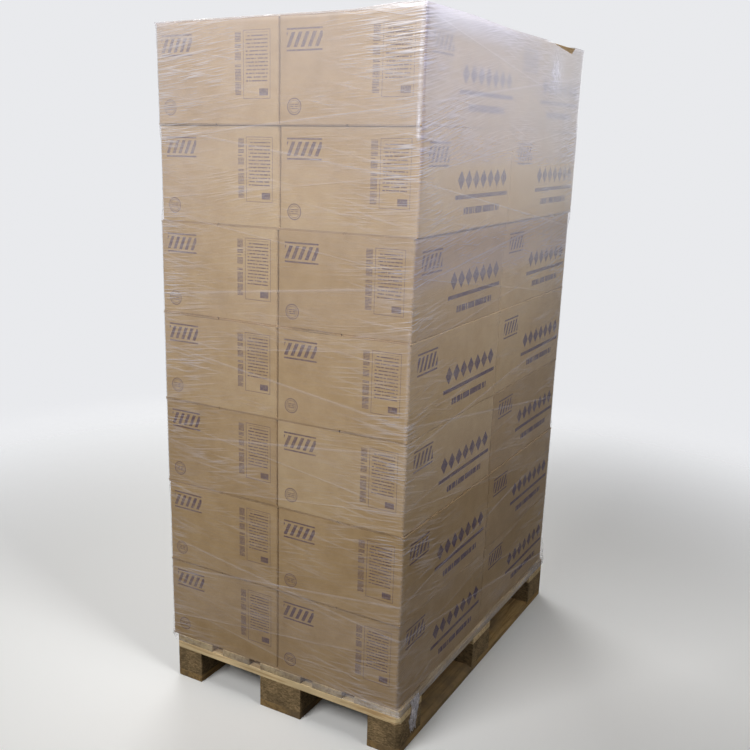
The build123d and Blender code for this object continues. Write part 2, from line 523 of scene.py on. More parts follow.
@dataclass(frozen=True)
class StretchFilmFinish:
    """Clear polyethylene stretch film: thin and glossy, milky where turns overlap and where it creases, its creases
    partly painted glints.

    Each turn climbs or falls as it goes round, so the overlaps run in slanting bands. The film's own
    coordinates are the way round the load and the height, both in metres. Creases and crumples are in
    millimetres, and drawn coarser than the finest real ones, which are hair thin.
    """

    tint: str = "#DEDAE0"
    # the grey-lilac of the painted reflection on the right side
    sheen_tint: str = "#BFBACE"
    clear: float = 0.008
    top_haze: float = 0.18
    band_haze: float = 0.018
    edge_haze: float = 0.15
    crease_white_and_glint_haze: float = 0.27
    side_sheen_haze: float = 0.15
    corner_haze: float = 0.14
    rim_white_and_highlight_haze: float = 0.6
    gather_haze: float = 0.7
    layers_gloss: float = 0.45
    top_gloss: float = 0.5
    grazing_gloss: float = 0.05
    roughness: float = 0.3
    relief: float = 1.1
    sheen_side: tuple[float, float] = (0.8, 2.02)
    climb: float = 0.43
    climb_start: float = 0.215
    fall: float = -0.61
    fall_start: float = 0.36
    turn_share: float = 0.38
    edge_line: float = 2.2
    perimeter: float = 4.03
    crease_length: float = 210.0
    crease_width: float = 7.0
    fine_length: float = 80.0
    fine_width: float = 3.4
    crumple: float = 14.0
    sway: float = 0.07

    def turn_level(self, add: Adder, wrap: Source, rise: float, start: float) -> Node:
        """The height measured along one pass of the roll, so that a turn's edge is level.

        Args:
            add: adds a node to the material.
            wrap: the film's own coordinates.
            rise: how much the film climbs in one turn.
            start: where the first turn starts.

        Returns:
            The height in metres.
        """
        slope = (-rise / self.perimeter, 1.0, 0.0)
        level = add("VectorMath.DOT_PRODUCT", (wrap, slope)).outputs["Value"]
        return add("Math.ADD", (level, start))

    def band(self, add: Adder, level: Source, rise: float) -> tuple[Node, Node]:
        """Where one pass overlaps itself, and the pale lines at the overlap's two edges.

        Args:
            add: adds a node to the material.
            level: the height along the pass.
            rise: how much the film climbs in one turn.

        Returns:
            The overlap and the lines, from nought to one.
        """
        turns = add("Math.DIVIDE", (level, abs(rise)))
        part = add("Math.FRACT", (turns,))
        share, line = self.turn_share, self.edge_line * MM / abs(rise)
        overlap = ((0.0, 1.0), (share - line, 1.0), (share + line, 0.0), (1.0, 0.0))
        edges = ((0.0, 0.9), (2 * line, 0.0), (share - 3 * line, 0.0), (share, 1.0), (share + line, 0.0), (1.0, 0.0))
        return add("ValToRGB", (part,), overlap), add("ValToRGB", (part,), edges)

    def crease(self, add: Adder, place: tuple[Source, Source], length: float, width: float, seed: float) -> Node:
        """Long thin creases that run with the pull of the roll.

        Args:
            add: adds a node to the material.
            place: the way round the load, and the height along the pass.
            length: a crease's usual length in millimetres.
            width: from one crease to the next in millimetres.
            seed: makes one set differ from another.

        Returns:
            A noise from nought to one.
        """
        along = add("Math.MULTIPLY", (place[0], 1 / (length * MM)))
        across = add("Math.MULTIPLY", (place[1], 1 / (width * MM)))
        where = add("CombineXYZ", (along, across, seed))
        return add("TexNoise", {"Vector": where, "Scale": 1.0, "Detail": 1.5, "Roughness": 0.45})

    def painted_side_sheen(self, add: Adder, round_way: Source, halved: Source, patch: Source) -> tuple[Node, Node]:
        """More turns lie on the right side, in level bands with straight edges, and its rim is bunched. Their grey
        veil is a painted reflection, the sheen of a bright light on that side, and the rim's white is partly a
        painted highlight.

        Args:
            add: adds a node to the material.
            round_way: the way round the load in metres.
            halved: half the height in metres.
            patch: a slow noise.

        Returns:
            The grey veil of the extra turns, a painted reflection, and the white of the rim, partly a painted
            highlight, from nought to one.
        """
        # a ramp runs from nought to one, so the way round is taken a fifth as long
        fifth = 0.2
        part = add("Math.MULTIPLY", (round_way, fifth))
        start, end = (fifth * place for place in self.sheen_side)
        side = add("ValToRGB", (part,), ((start, 0.0), (start + 0.001, 1.0), (end - 0.001, 1.0), (end, 0.0)))
        # the level bands are where the painted reflection lies
        lower_band = ((0.648, 0.0), (0.665, 0.95), (0.722, 0.95), (0.727, 0.35), (0.802, 0.4))
        upper_band = ((0.81, 0.95), (0.93, 1.0), (0.99, 0.8), (0.997, 0.0))
        side_sheen = add("ValToRGB", (halved,), (*lower_band, *upper_band))
        uneven = add("ValToRGB", (patch,), ((0.3, 0.7), (0.6, 1.0)))
        rim = add("ValToRGB", (halved,), ((0.955, 0.0), (0.978, 1.0)))
        nearness = ((start, 0.5), (start + 0.02, 1.0), (start + 0.1, 0.7), (start + 0.16, 0.0))
        near = add("ValToRGB", (part,), nearness)
        for mask in (side, uneven):
            side_sheen = add("Math.MULTIPLY", (side_sheen, mask))
        for mask in (near, side):
            rim = add("Math.MULTIPLY", (rim, mask))
        return side_sheen, rim

    def mirror(self, add: Adder, bump: Source, upper: Source) -> Node:
        """How much the film mirrors: it is thin, so alike from both sides, and most at a grazing angle.

        Args:
            add: adds a node to the material.
            bump: the creased surface.
            upper: the extra turns at the top.

        Returns:
            The share of the light, from nought to one.
        """
        facing = add("LayerWeight", {"Blend": 0.5}).outputs["Facing"]
        steep = add("Math.POWER", (facing, 1.5))
        thick = add("Math.MULTIPLY_ADD", (upper, 0.9, 0.1))
        steep = add("Math.MULTIPLY", (steep, thick))
        slant = add("LayerWeight", {"Blend": 0.5, "Normal": bump}).outputs["Facing"]
        slant = add("Math.POWER", (slant, 5.0))
        # a twenty-fifth square on, and all of it at a grazing angle
        single = add("Math.MULTIPLY_ADD", (slant, 0.96, 0.04))
        layers = add("Math.MULTIPLY_ADD", (upper, self.top_gloss, self.layers_gloss))
        share = add("Math.MULTIPLY", (single, layers))
        return add("Math.MULTIPLY_ADD", (steep, self.grazing_gloss, share), use_clamp=True)

    def material(self) -> Material:
        """Build the film's material.

        Returns:
            The material.
        """
        material, add = new_material("stretch_film")
        wrap = add("UVMap", uv_map="wrap")
        round_way, height = add("SeparateXYZ", (wrap,)).outputs[:2]
        up = self.turn_level(add, wrap, self.climb, self.climb_start)
        down = self.turn_level(add, wrap, self.fall, self.fall_start)
        # the pull is never quite even, so the creases sway a little
        sway = add("TexNoise", {"Vector": wrap, "Scale": 1.9, "Detail": 0.0})
        swayed_up, swayed_down = (add("Math.MULTIPLY_ADD", (sway, self.sway, level)) for level in (up, down))
        long_creases, cross_creases, fine_creases = (
            self.crease(add, (round_way, level), length, width, seed)
            for level, length, width, seed in (
                (swayed_up, self.crease_length, self.crease_width, 1.0),
                (swayed_down, self.crease_length, self.crease_width * 1.3, 4.0),
                (swayed_up, self.fine_length, self.fine_width, 7.0),
            )
        )
        # creases crowd together beside the upright corners and come in patches elsewhere
        corner = add("Attribute", attribute_name="corner").outputs["Fac"]
        low_patches = add("Mapping", {"Vector": wrap, "Scale": (1.0, 2.2, 1.0)})
        patch = add("TexNoise", {"Vector": low_patches, "Scale": 3.4, "Detail": 2.0})
        patches = add("ValToRGB", (patch,), ((0.45, 0.0), (0.7, 1.0)))
        crowd = add("Math.MULTIPLY_ADD", (patches, 0.4, 0.06))
        uneven = add("Math.MULTIPLY_ADD", (patches, 0.6, 0.4))
        crowd = add("Math.MULTIPLY_ADD", (corner, uneven, crowd), use_clamp=True)
        relief = add("Math.MULTIPLY_ADD", (fine_creases, 0.4, long_creases))
        relief = add("Math.MULTIPLY_ADD", (cross_creases, 0.45, relief))
        relief = add("Math.MULTIPLY", (relief, crowd))
        # the creases' white lines are partly the film's own whitening and partly painted glints
        crease_white_and_glint: Source = 0.0
        for creases in (long_creases, cross_creases, fine_creases):
            sharp = add("ValToRGB", (creases,), ((0.56, 0.0), (0.66, 1.0)))
            crease_white_and_glint = add("Math.MAXIMUM", (crease_white_and_glint, sharp))
        crease_white_and_glint = add("Math.MULTIPLY", (crease_white_and_glint, crowd))
        # the roll is tied off with extra turns at the top, which makes it milky there; the milkiness is partly a
        # painted reflection, the sheen of bright light on the upper film
        halved = add("Math.MULTIPLY", (height, 0.5))
        milky = ((0.0, 0.0), (0.45, 0.0), (0.62, 0.22), (0.78, 0.4), (0.88, 0.8), (0.96, 1.0))
        upper = add("ValToRGB", (halved,), milky)
        # the right side's grey veil is a painted reflection of a bright light, and its rim's white partly a painted
        # highlight
        side_sheen, rim = self.painted_side_sheen(add, round_way, halved, patch)
        cornered = add("Math.MULTIPLY", (corner, upper))
        overlap_up, line_up = self.band(add, up, self.climb)
        overlap_down, line_down = self.band(add, down, self.fall)
        # where the film is bunched it is crumpled, and all but white
        crumple = add(
            "TexNoise", {"Vector": wrap, "Scale": 1 / (self.crumple * MM), "Detail": 3.0, "Distortion": 0.8}
        )
        crumpled = add("ValToRGB", (crumple,), ((0.4, 0.35), (0.6, 1.0)))
        bunched = add("Attribute", attribute_name="gather").outputs["Fac"]
        gather = add("Math.MULTIPLY", (bunched, crumpled))
        relief = add("Math.MULTIPLY_ADD", (crumple, gather, relief))
        haze: Source = self.clear
        for mask, amount in (
            (upper, self.top_haze),
            (overlap_up, self.band_haze),
            (overlap_down, self.band_haze),
            (line_up, self.edge_haze),
            (line_down, self.edge_haze),
            (crease_white_and_glint, self.crease_white_and_glint_haze),
            (side_sheen, self.side_sheen_haze),
            (cornered, self.corner_haze),
            (rim, self.rim_white_and_highlight_haze),
            (gather, self.gather_haze),
        ):
            haze = add("Math.MULTIPLY_ADD", (mask, amount, haze), use_clamp=True)
        # between two creases the film is stretched clear
        streak = add("ValToRGB", (fine_creases,), ((0.36, 0.35), (0.6, 1.25)))
        streak = add("Mix", {0: crowd, 2: 1.0, 3: streak}, data_type="FLOAT")
        haze = add("Math.MULTIPLY", (haze, streak), use_clamp=True)
        bump = add("Bump", {"Strength": 1.0, "Distance": self.relief * MM, "Height": relief})
        # the grey-lilac tint goes where the painted reflection lies
        tone = add("Mix", {0: side_sheen, 6: linear(self.tint), 7: linear(self.sheen_tint)}, data_type="RGBA").outputs[2]
        milk = {"Base Color": tone, "Roughness": 0.5, "Normal": bump, "Specular IOR Level": 0.3}
        body = add("MixShader", (haze, add("BsdfTransparent"), add("BsdfPrincipled", milk)))
        gloss = add("BsdfGlossy", {"Roughness": self.roughness, "Normal": bump})
        film = add("MixShader", (self.mirror(add, bump, upper), body, gloss))
        add("OutputMaterial", (film,))
        return material


def pick(*pieces: Piece) -> None:
    """Leave object mode and select.

    Args:
        pieces: the pieces to select alone, the first one active.
    """
    if bpy.context.object and bpy.context.object.mode != "OBJECT":
        bpy.ops.object.mode_set(mode="OBJECT")
    bpy.ops.object.select_all(action="DESELECT")
    for piece in pieces:
        piece.select_set(True)
    if pieces:
        bpy.context.view_layer.objects.active = pieces[0]


def join(*parts: Piece) -> Piece:
    """Join parts.

    Args:
        parts: the parts, which the first one takes in.

    Returns:
        The joined piece.
    """
    pick(*parts)
    bpy.ops.object.join()
    return bpy.context.object


def copy_of(source: Piece, name: str) -> Piece:
    """Copy a piece with a mesh of its own.

    Args:
        source: the piece.
        name: the copy's name.

    Returns:
        The copy.
    """
    piece = source.copy()
    piece.data = source.data.copy()
    piece.name = name
    bpy.context.collection.objects.link(piece)
    return piece


def corners(node: str) -> tuple[Vector, Vector]:
    """The lowest and highest corner of one of the frame's nodes."""
    low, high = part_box(node)
    return Vector(low), Vector(high)


def new_box(name: str, low: Sequence[float], high: Sequence[float]) -> Piece:
    """Add a cube primitive between two corners, its place in its mesh.

    Args:
        name: the piece's name.
        low: the lowest corner.
        high: the highest corner.

    Returns:
        The box, selected, active and in edit mode.
    """
    pick()
    low, high = Vector(low), Vector(high)
    bpy.ops.mesh.primitive_cube_add(size=1.0, location=(low + high) / 2)
    piece = bpy.context.object
    piece.name = name
    piece.scale = high - low
    bpy.ops.object.transform_apply(location=True, rotation=True, scale=True)
    bpy.ops.object.mode_set(mode="EDIT")
    return piece


def choose(piece: Piece, kind: str, test: Callable[[Vector, Vector], bool]) -> None:
    """Select the edges or faces that pass a test.

    Args:
        piece: the active piece, in edit mode before and after.
        kind: EDGE or FACE.
        test: takes an edge's two ends, or a face's centre and normal.
    """
    bpy.ops.mesh.select_mode(type=kind)
    bpy.ops.mesh.select_all(action="DESELECT")
    bpy.ops.object.mode_set(mode="OBJECT")
    mesh = piece.data
    if kind == "EDGE":
        for edge in mesh.edges:
            edge.select = test(*(mesh.vertices[index].co for index in edge.vertices))
    else:
        for face in mesh.polygons:
            face.select = test(face.center, face.normal)
    bpy.ops.object.mode_set(mode="EDIT")


def runs_along(axis: int, least: float = TOUCH) -> Callable[[Vector, Vector], bool]:
    """A test for edges that run along one axis and are longer than the least length."""
    others = [other for other in range(3) if other != axis]
    return lambda a, b: all(abs(a[i] - b[i]) < TOUCH for i in others) and abs(a[axis] - b[axis]) > least


def divide(piece: Piece, cuts: dict[int, int], least: float) -> None:
    """Subdivide the long edges.

    Args:
        piece: the active piece, in edit mode before and after.
        cuts: how many cuts the edges along each axis get.
        least: the length above which an edge is cut.
    """
    for axis, count in cuts.items():
        choose(piece, "EDGE", runs_along(axis, least))
        bpy.ops.mesh.subdivide(number_cuts=count)


def use_modifier(piece: Piece, kind: str, **settings: Any) -> None:
    """Add one modifier with its settings and apply it.

    Args:
        piece: the piece it shapes.
        kind: the modifier's type.
        settings: its properties.
    """
    pick(piece)
    modifier = piece.modifiers.new(kind.lower(), kind)
    for name, value in settings.items():
        setattr(modifier, name, value)
    bpy.ops.object.modifier_apply(modifier=modifier.name)


def cloud_texture(name: str, size: float) -> bpy.types.Texture:
    """A soft noise for a Displace modifier.

    Args:
        name: the texture's name.
        size: how wide its lumps are, in metres or in the UV map's unit.

    Returns:
        The texture.
    """
    texture = bpy.data.textures.new(name, "CLOUDS")
    texture.noise_scale = size
    texture.noise_depth = 1
    return texture


@dataclass
class Pallet:
    """The block pallet: boards and blocks copied from the frame, with worn edges and nails."""

    edge_wear: float = 1.6 * MM
    nail_radius: float = 4.0 * MM
    nail_thickness: float = 0.6 * MM
    nail_sides: int = 20
    nail_places: tuple[tuple[float, float], ...] = ((-0.28, -0.3), (0.26, -0.05), (-0.2, 0.31))
    pieces: list[Piece] = field(default_factory=list)

    def build(self, nodes: dict[str, Piece]) -> None:
        """Make each board and block.

        Args:
            nodes: the frame's nodes by name.
        """
        lengthwise, crosswise = (1.0, 0.05, 1.0), (0.05, 1.0, 1.0)
        along = SawnSoftwood("sawn_softwood_along", lengthwise, "#CDB78E", "#A1865F", "#7C6C54", 0.5)
        lower = SawnSoftwood("sawn_softwood_floor", lengthwise, "#A98A58", "#7A5F3B", "#6B5B45", 0.5)
        across = SawnSoftwood("sawn_softwood_across", crosswise, "#F2D8A8", "#CBA777", "#9C8866", 0.25)
        finishes = {
            "deck_board": along.material(),
            "bottom_board": lower.material(),
            "cross_board": across.material(),
            "block": PressedChipBlock().material(),
        }
        for name in sorted(nodes):
            for start, finish in finishes.items():
                if name.startswith(start):
                    self.pieces.append(self.worn_copy(name, nodes[name], finish))
        self.pieces.append(self.nails(nodes))

    def nails(self, nodes: dict[str, Piece]) -> Piece:
        """Nail heads under the bottom boards: three to a block, a hair proud of the wood.

        Args:
            nodes: the frame's nodes by name.

        Returns:
            The heads, as one piece.
        """
        heads = []
        for name in sorted(node for node in nodes if node.startswith("block_")):
            low, high = corners(name)
            middle = (low + high) / 2
            for across, along in self.nail_places:
                pick()
                bpy.ops.mesh.primitive_cylinder_add(
                    vertices=self.nail_sides,
                    radius=self.nail_radius,
                    depth=self.nail_thickness,
                    location=(middle.x + across * (high.x - low.x), middle.y + along * (high.y - low.y), 0.0),
                )
                heads.append(bpy.context.object)
        piece = join(*heads)
        bpy.ops.object.transform_apply(location=True, rotation=True, scale=True)
        piece.name = "bottom_board_nails"
        # bright wire nails, dulled by the floor
        material, add = new_material("nail_steel")
        steel = {"Base Color": linear("#8C8780"), "Metallic": 1.0, "Roughness": 0.45}
        add("OutputMaterial", (add("BsdfPrincipled", steel),))
        piece.data.materials.append(material)
        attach(piece, "root")
        return piece

    def worn_copy(self, name: str, node: Piece, finish: Material) -> Piece:
        """Copy a node and round its sawn edges.

        Args:
            name: the node's name.
            node: the node's object.
            finish: the wood.

        Returns:
            The finished piece.
        """
        piece = copy_of(node, f"{name}_worn")
        pick(piece)
        bpy.ops.object.mode_set(mode="EDIT")
        bpy.ops.mesh.select_all(action="SELECT")
        bpy.ops.mesh.remove_doubles(threshold=TOUCH)
        bpy.ops.mesh.dissolve_limited(angle_limit=math.radians(1))
        bpy.ops.object.mode_set(mode="OBJECT")
        sharp = math.radians(20)
        use_modifier(piece, "BEVEL", width=self.edge_wear, segments=2, limit_method="ANGLE", angle_limit=sharp)
        bpy.ops.object.shade_smooth_by_angle(angle=math.radians(25))
        piece.data.materials.clear()
        piece.data.materials.append(finish)
        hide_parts(name)
        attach(piece, "root")
        return piece


@dataclass
class CartonStack:
    """The cartons: a slotted case modelled once, copied to each node's place and made uneven there."""

    board: float = 3.0 * MM
    fold_radius: float = 8.0 * MM
    flap_fold: float = 2.25 * MM
    flap_gap: float = 3.0 * MM
    flap_setback: float = 0.5 * MM
    unevenness: float = 2.4 * MM
    lump: float = 200 * MM
    slip: tuple[float, float] = (2.5 * MM, 2.0 * MM)
    cuts: tuple[int, int, int] = (11, 17, 7)
    least_cut: float = 100 * MM
    pieces: list[Piece] = field(default_factory=list)

    def model_case(self, size: Vector) -> Piece:
        """Model one case about the origin: its walls, and the long flaps above and below.

        Args:
            size: the case's outside size.

        Returns:
            The case.
        """
        half = size / 2
        top = half.z - self.board
        walls = new_box("case_walls", (-half.x, -half.y, -top), (half.x, half.y, top))
        choose(walls, "EDGE", runs_along(2))
        bpy.ops.mesh.bevel(offset=self.fold_radius, segments=3)
        divide(walls, dict(enumerate(self.cuts)), self.least_cut)
        parts = [walls]
        for level in (top, -half.z):
            for side in (-1, 1):
                left, right = sorted((side * self.flap_gap / 2, side * half.x))
                back = half.y - self.flap_setback
                flap = new_box("case_flap", (left, -back, level), (right, back, level + self.board))
                outward = level + self.board if level > 0 else level
                fold = Vector((half.x * side, 0, outward))
                choose(
                    flap,
                    "EDGE",
                    lambda a, b: runs_along(1)(a, b) and abs(a.x - fold.x) < TOUCH and abs(a.z - fold.z) < TOUCH,
                )
                bpy.ops.mesh.bevel(offset=self.flap_fold, segments=3)
                divide(flap, {0: self.cuts[0] // 2, 1: self.cuts[1]}, self.least_cut)
                parts.append(flap)
        return join(*parts)

    @staticmethod
    def panel_kind(face: bpy.types.MeshPolygon, on_flap: bool) -> Face:
        """Tell which kind of panel a face is part of.

        Args:
            face: a face of a case.
            on_flap: whether it is at a flap's level.

        Returns:
            The kind of panel.
        """
        if abs(face.normal.z) > 0.6 or (on_flap and abs(face.normal.x) > 0.1):
            return Face.FLAP
        if on_flap:
            return Face.CUT
        return Face.END if abs(face.normal.y) > abs(face.normal.x) else Face.SIDE

    def map_panels(self, piece: Piece, low: Vector, high: Vector) -> None:
        """Give each face its panel's coordinates and its kind of board.

        Args:
            piece: a case in its place.
            low: its lowest corner.
            high: its highest corner.
        """
        mesh = piece.data
        layer = mesh.uv_layers.new(name="panel")
        batch = mesh.attributes.new("batch", "FLOAT", "POINT")
        batch.data.foreach_set("value", [random.random()] * len(mesh.vertices))
        # no two cartons are printed in quite the same place
        across_slip, up_slip = (random.uniform(-reach, reach) for reach in self.slip)
        for face in mesh.polygons:
            normal, level = face.normal, face.center.z
            kind = self.panel_kind(face, level > high.z - self.board or level < low.z + self.board)
            face.material_index = kind.value
            upper_cut = kind is Face.CUT and level > (low.z + high.z) / 2
            base = high.z - self.board if upper_cut else low.z
            for index in face.loop_indices:
                spot = mesh.vertices[mesh.loops[index].vertex_index].co
                if kind is Face.FLAP:
                    across, up = spot.x - low.x, spot.y - low.y
                elif abs(normal.y) > abs(normal.x):
                    across = across_slip + (spot.x - low.x if normal.y < 0 else high.x - spot.x)
                    up = spot.z - base + (up_slip if kind is Face.END else 0.0)
                else:
                    across = across_slip + (spot.y - low.y if normal.x > 0 else high.y - spot.y)
                    up = spot.z - base + up_slip
                layer.data[index].uv = (across, up)

    def build(self, nodes: dict[str, Piece]) -> None:
        """Place one case at each carton's node.

        Args:
            nodes: the frame's nodes by name.
        """
        names = [name for name in sorted(nodes) if name.startswith("carton_")]
        low, high = corners(names[0])
        case = self.model_case(high - low)
        lumps = cloud_texture("panel_lumps", self.lump)
        finishes = [KraftBoard().material(face) for face in Face]
        for name in names:
            low, high = corners(name)
            piece = copy_of(case, f"{name}_case")
            piece.data.transform(Matrix.Translation((low + high) / 2))
            for finish in finishes:
                piece.data.materials.append(finish)
            self.map_panels(piece, low, high)
            bulge = {"texture": lumps, "texture_coords": "GLOBAL", "strength": self.unevenness, "mid_level": 0.55}
            use_modifier(piece, "DISPLACE", **bulge)
            bpy.ops.object.shade_smooth_by_angle(angle=math.radians(35))
            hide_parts(name)
            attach(piece, "root")
            self.pieces.append(piece)
        bpy.data.objects.remove(case)


@dataclass
class FilmWrap:
    """The stretch film: one skin round the load, over its top rim and down over the deck's edge.

    low and high are the load's corners, with the film's stand-off, and skin is the film while it is shaped.
    """

    stand_off: float = 2.0 * MM
    least_gap: float = 1.7 * MM
    lip_width: float = 118 * MM
    rim_rise: float = 13 * MM
    corner_radius: float = 10 * MM
    skirt_bottom: float = 124 * MM
    skirt_top: float = 204 * MM
    deck_top: float = 144 * MM
    deck_reach: float = 1.0 * MM
    tuck: float = 20 * MM
    beside_middle: float = 100 * MM
    end_zone: float = 400 * MM
    wall_margin: float = 4 * MM
    columns: tuple[int, int] = (60, 90)
    rows: int = 225
    lip_rows: int = 12
    span: int = 2
    smoothing: int = 24
    ridge: float = 2.0 * MM
    ridge_waves: tuple[float, float] = (0.9, 5.0)
    least_rim: float = 1.0 * MM
    front_rim: float = 9.0 * MM
    rim_from_front: tuple[float, float] = (0.02, 0.45)
    rim_from_left: tuple[float, float] = (0.2, 0.12)
    lip_shift: float = 2.0
    lip_waves: tuple[float, float] = (4.2, 15)
    pleat_waves: tuple[float, float] = (17, 41)
    pleat: float = 16 * MM
    corner_reach: float = 120 * MM
    fold_reach: float = 11 * MM
    rim_reach: float = 22 * MM
    rim_band: tuple[float, float] = (4 * MM, 8 * MM)
    # where the painted highlight runs at the front right corner, and the heights over which it grows
    corner_highlight_edge: tuple[float, float] = (12 * MM, 4 * MM)
    corner_highlight_band: tuple[float, float] = (0.7, 1.1)
    rolled_band: tuple[float, float] = (8 * MM, 10 * MM)
    rolled_waves: tuple[float, float, float] = (9, 9, 60)
    gather_spot: tuple[float, float, float] = (0.4, 0.33, 1.885)
    gather_radius: float = 45 * MM
    gather_waves: float = 34
    patch_white: float = 1.1
    corner_white_and_highlight: float = 0.1
    rim_white: float = 0.32
    notch: tuple[float, float] = (0.24, 0.50)
    notch_lowest: tuple[float, float] = (0.468, 20 * MM)
    notch_inner: tuple[float, float] = (0.39, 80 * MM)
    notch_margins: tuple[float, float] = (40 * MM, 60 * MM)
    tail_cuts: tuple[int, int] = (56, 40)
    tail_pleats: tuple[float, float] = (34, 57)
    tail_sway: float = 5 * MM
    tail_ragged: float = 7 * MM
    tail_centre: float = 87 * MM
    tail_top: float = 150 * MM
    tail_bottom: float = 46 * MM
    tail_depth: float = 8 * MM
    tail_widths: tuple[float, ...] = (58 * MM, 44 * MM, 50 * MM, 34 * MM)
    low: Vector = field(default_factory=Vector)
    high: Vector = field(default_factory=Vector)
    skin: Piece | None = None
    pieces: list[Piece] = field(default_factory=list)

    def build(self, cases: list[Piece]) -> None:
        """Model the film round the finished cartons.

        Args:
            cases: the cartons' pieces.
        """
        spots = [vertex.co for case in cases for vertex in case.data.vertices]
        out = Vector((1, 1, 0)) * self.stand_off
        self.low = Vector([min(spot[axis] for spot in spots) for axis in range(3)]) - out
        self.high = Vector([max(spot[axis] for spot in spots) for axis in range(3)]) + out
        self.model_skin()
        columns = self.wall_columns()
        pick(*cases)
        bpy.ops.object.duplicate()
        bpy.ops.object.join()
        load = bpy.context.object
        self.hug(load)
        self.map_wrap()
        self.crumple()
        self.press(load, "OUTSIDE", self.least_gap, "cover")
        bpy.data.objects.remove(load)
        self.bridge(columns)
        self.pleat_lip()
        self.mark_gathers()
        self.tear()
        finish = StretchFilmFinish().material()
        for piece in (self.skin, self.tail()):
            pick(piece)
            bpy.ops.object.shade_smooth()
            piece.data.materials.append(finish)
            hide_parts("stretch_film")
            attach(piece, "root")
            self.pieces.append(piece)

    def model_skin(self) -> None:
        """Model the skin: an open box, finely divided, whose top edge turns in as a lip."""
        low, high = self.low, self.high
        rim = high.z + self.rim_rise
        skin = new_box("stretch_film_wrap", (low.x, low.y, self.skirt_bottom), (high.x, high.y, rim))
        choose(skin, "FACE", lambda centre, normal: normal.z < -0.9)
        bpy.ops.mesh.delete(type="FACE")
        choose(skin, "FACE", lambda centre, normal: normal.z > 0.9)
        bpy.ops.mesh.inset(thickness=self.lip_width)
        bpy.ops.transform.translate(value=(0, 0, self.least_rim - self.rim_rise))
        bpy.ops.mesh.delete(type="ONLY_FACE")
        choose(skin, "EDGE", runs_along(2))
        bpy.ops.mesh.bevel(offset=self.corner_radius, segments=4)
        choose(skin, "EDGE", lambda a, b: min(a.z, b.z) > rim - 10 * TOUCH)
        bpy.ops.mesh.bevel(offset=self.corner_radius * 0.6, segments=2)
        divide(skin, {2: self.rows}, 0.5)
        divide(skin, dict(enumerate(self.columns)), 0.3)
        # what is left are the lip's slanting edges
        drop, inward = self.rim_rise * 0.4, self.lip_width / 2
        choose(skin, "EDGE", lambda a, b: abs(a.z - b.z) > drop and (a - b).to_2d().length > inward)
        bpy.ops.mesh.subdivide(number_cuts=self.lip_rows)
        bpy.ops.mesh.select_all(action="SELECT")
        bpy.ops.mesh.normals_make_consistent(inside=False)
        bpy.ops.object.mode_set(mode="OBJECT")
        self.skin = skin

    def on_wall(self, spot: Vector) -> bool:
        """Whether a point of the film is on a wall, between the deck and the rim."""
        return self.deck_top < spot.z < self.high.z - self.wall_margin

    def inset(self, spot: Vector) -> tuple[float, float]:
        """How far a point is from the nearer of the load's sides, across and along."""
        low, high = self.low, self.high
        return min(spot.x - low.x, high.x - spot.x), min(spot.y - low.y, high.y - spot.y)

    def wall_columns(self) -> list[list[int]]:
        """Sort the walls' vertices into upright columns, while the film is still a plain box.

        Returns:
            The vertices' numbers, one list a column, each from the bottom up.
        """
        vertices = self.skin.data.vertices
        columns: dict[tuple[float, float], list[int]] = {}
        for vertex in vertices:
            if self.on_wall(vertex.co):
                columns.setdefault((round(vertex.co.x, 5), round(vertex.co.y, 5)), []).append(vertex.index)
        return [sorted(column, key=lambda index: vertices[index].co.z) for column in columns.values()]

    def press(self, load: Piece, mode: str, gap: float, group: str) -> None:
        """Draw the film's walls onto the load.

        Args:
            load: the cartons, joined.
            mode: which way the film may move.
            gap: how far it stays off them.
            group: the vertex group that moves.
        """
        use_modifier(
            self.skin,
            "SHRINKWRAP",
            target=load,
            wrap_method="NEAREST_SURFACEPOINT",
            wrap_mode=mode,
            offset=gap,
            vertex_group=group,
        )

    def hug(self, load: Piece) -> None:
        """Draw the film onto the cartons, and its skirt onto the deck.

        Args:
            load: the cartons, joined.
        """
        on_walls = [vertex.index for vertex in self.skin.data.vertices if self.on_wall(vertex.co)]
        for group in ("walls", "cover"):
            self.skin.vertex_groups.new(name=group).add(on_walls, 1.0, "REPLACE")
        self.press(load, "OUTSIDE_SURFACE", self.stand_off, "walls")
        use_modifier(self.skin, "SMOOTH", factor=0.5, iterations=self.smoothing, vertex_group="walls")
        deck_low, deck_high = corners("deck_board_1")
        right_edge = corners("deck_board_5")[1].x
        middle = (self.low.x + self.high.x) / 2
        for vertex in self.skin.data.vertices:
            spot = vertex.co
            if spot.z >= self.skirt_top:
                continue
            fall = share_of(self.skirt_top - spot.z, self.skirt_top - self.deck_top)
            tuck = share_of(self.deck_top - spot.z, self.tuck)
            if spot.x > middle + self.beside_middle:
                spot.x = max(spot.x, spot.x + (right_edge + self.deck_reach - spot.x) * fall)
            if spot.x < middle - self.beside_middle:
                spot.x += (deck_low.x - self.deck_reach - spot.x) * tuck
            if abs(spot.y) > self.end_zone:
                edge = math.copysign(deck_high.y + self.deck_reach, spot.y)
                spot.y += (edge - spot.y) * tuck

    def bridge(self, columns: list[list[int]]) -> None:
        """Let the taut film span the steps between layers, so that no carton's edge stands through it.

        Args:
            columns: the walls' vertices in upright columns.
        """
        vertices = self.skin.data.vertices
        for column in columns:
            for axis in (0, 1):
                places = [vertices[index].co[axis] for index in column]
                if places[0] > self.high[axis] - 2 * self.corner_radius:
                    outermost = max
                elif places[0] < self.low[axis] + 2 * self.corner_radius:
                    outermost = min
                else:
                    continue
                for row, index in enumerate(column):
                    vertices[index].co[axis] = outermost(places[max(0, row - self.span):row + self.span + 1])

